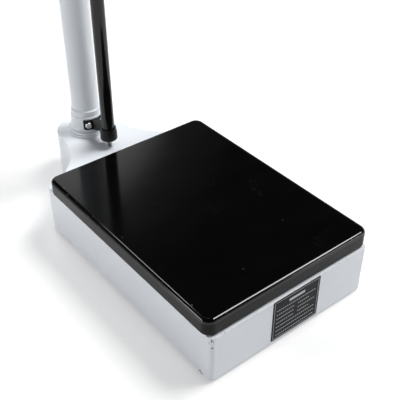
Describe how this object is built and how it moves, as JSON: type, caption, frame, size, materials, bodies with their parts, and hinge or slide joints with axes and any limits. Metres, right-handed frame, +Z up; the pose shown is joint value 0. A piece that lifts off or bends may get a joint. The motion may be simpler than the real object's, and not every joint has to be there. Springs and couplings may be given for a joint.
{
  "type": "mechanical body scale",
  "caption": "Lever platform scale with a black platform on a white cast base, a column with a two-bar balance beam, and a telescopic height rod with a folding head bar.",
  "frame": {"origin": "centre of the platform's top face", "axes": "+X to the right of a person who stands on the platform and faces the column, +Y towards the column, +Z up; the floor is 106 mm below the origin"},
  "size_m": [0.428, 0.5576, 1.07],
  "materials": {
    "white_enamel": "gloss stove enamel, with faint orange peel",
    "platform_black": "deep gloss black enamel with fine dust and hairline scratches",
    "bracket_black": "satin black paint",
    "tube_black": "gloss black enamel",
    "cap_plastic": "moulded black plastic",
    "foot_rubber": "matt black rubber",
    "chrome_tube": "bright chrome plate",
    "screw_steel": "bright zinc-plated steel",
    "stud_steel": "blackened steel",
    "pivot_steel": "ground and hardened steel",
    "rod_steel": "drawn steel",
    "lever_iron": "cast iron under grey primer",
    "frame_steel": "welded steel flats under black primer",
    "cover_sheet": "grey painted sheet steel",
    "plate_black": "printed black plate, no lettering",
    "bar_steel": "satin nickel-plated steel",
    "poise_black": "gloss black enamel over cast iron"
  },
  "bodies": {
    "frame": {"base_casting": "white_enamel", "bottom_cover": "cover_sheet", "cover_screws": "screw_steel", "feet": "foot_rubber", "foot_screws": "screw_steel", "name_plate": "plate_black", "lever_seats": "pivot_steel", "column_collar": "white_enamel", "collar_set_screws": "screw_steel", "column_tube": "white_enamel", "rod_bracket_lower": "bracket_black", "lower_bracket_screws": "screw_steel", "rod_bracket_upper": "bracket_black", "upper_bracket_screws": "screw_steel", "rod_end_cap": "cap_plastic", "rod_foot_screw": "stud_steel", "rod_outer_tube": "tube_black", "rod_outer_guide": "cap_plastic", "head_casting": "white_enamel", "head_set_screws": "screw_steel", "beam_stand": "white_enamel", "stand_screws": "screw_steel", "beam_seats": "pivot_steel", "beam_guard": "white_enamel"},
    "platform": {"platform_tray": "platform_black", "platform_frame": "frame_steel", "platform_seats": "pivot_steel"},
    "long_lever_body": {"long_lever": "lever_iron", "long_lever_pivots": "pivot_steel"},
    "short_lever_body": {"short_lever": "lever_iron", "short_lever_pivots": "pivot_steel"},
    "link_body": {"lever_link": "rod_steel"},
    "pull_rod_body": {"pull_rod": "rod_steel", "lower_stirrup": "rod_steel", "upper_stirrup": "rod_steel", "pull_rod_nuts": "screw_steel"},
    "beam": {"beam_block": "white_enamel", "beam_pivots": "pivot_steel", "main_bar": "bar_steel", "fractional_bar": "bar_steel", "beam_end_block": "white_enamel", "beam_pointer": "poise_black", "balance_screw": "chrome_tube"},
    "balance_weight_body": {"balance_weight": "chrome_tube"},
    "main_poise_body": {"main_poise": "poise_black"},
    "fractional_poise_body": {"fractional_poise": "poise_black", "fractional_poise_screw": "screw_steel"},
    "rod_middle": {"rod_middle_tube": "chrome_tube", "rod_middle_guide": "cap_plastic"},
    "rod_inner": {"rod_inner_tube": "chrome_tube", "head_bar_bracket": "cap_plastic", "head_bar_pin": "screw_steel"},
    "head_bar_body": {"head_bar": "bar_steel"}
  },
  "joints": [
    {"name": "beam_tilt", "type": "hinge", "parent": "frame", "child": "beam", "pos_m": [0.016, 0.312, 0.92], "axis": [0, -1, 0], "range_deg": [-2.5, 2.5]},
    {"name": "pull_rod_slide", "type": "slide", "parent": "frame", "child": "pull_rod_body", "axis": [0, 0, -1], "range_m": [-0.0007, 0.0007]},
    {"name": "long_lever_tilt", "type": "hinge", "parent": "frame", "child": "long_lever_body", "pos_m": [0, -0.15, -0.057], "axis": [-1, 0, 0], "range_deg": [-0.08658, 0.08658]},
    {"name": "short_lever_tilt", "type": "hinge", "parent": "frame", "child": "short_lever_body", "pos_m": [0, 0.165, -0.084], "axis": [1, 0, 0], "range_deg": [-0.08658, 0.08658]},
    {"name": "link_swing", "type": "hinge", "parent": "long_lever_body", "child": "link_body", "pos_m": [0, 0.0075, -0.057], "axis": [1, 0, 0], "range_deg": [-0.08658, 0.08658]},
    {"name": "platform_sink", "type": "slide", "parent": "frame", "child": "platform", "axis": [0, 0, -1], "range_m": [-0.000037779, 0.000037779]},
    {"name": "balance_weight_slide", "type": "slide", "parent": "beam", "child": "balance_weight_body", "axis": [1, 0, 0], "range_m": [-0.012, 0.012]},
    {"name": "main_poise_slide", "type": "slide", "parent": "beam", "child": "main_poise_body", "axis": [1, 0, 0], "range_m": [0, 0.156]},
    {"name": "fractional_poise_slide", "type": "slide", "parent": "beam", "child": "fractional_poise_body", "axis": [1, 0, 0], "range_m": [0, 0.16]},
    {"name": "rod_middle_slide", "type": "slide", "parent": "frame", "child": "rod_middle", "axis": [0, 0, 1], "range_m": [0, 0.6]},
    {"name": "rod_inner_slide", "type": "slide", "parent": "rod_middle", "child": "rod_inner", "axis": [0, 0, 1], "range_m": [0, 0.6]},
    {"name": "head_bar_hinge", "type": "hinge", "parent": "rod_inner", "child": "head_bar_body", "pos_m": [0, 0.2233, 0.702], "axis": [-1, 0, 0], "range_deg": [0, 90]}
  ],
  "couplings": [
    {"joint": "pull_rod_slide", "follows": "beam_tilt", "m_per_rad": 0.016},
    {"joint": "long_lever_tilt", "follows": "beam_tilt", "ratio": 0.034632},
    {"joint": "short_lever_tilt", "follows": "beam_tilt", "ratio": 0.034632},
    {"joint": "link_swing", "follows": "beam_tilt", "ratio": 0.034632},
    {"joint": "platform_sink", "follows": "beam_tilt", "m_per_rad": 0.0008658}
  ]
}
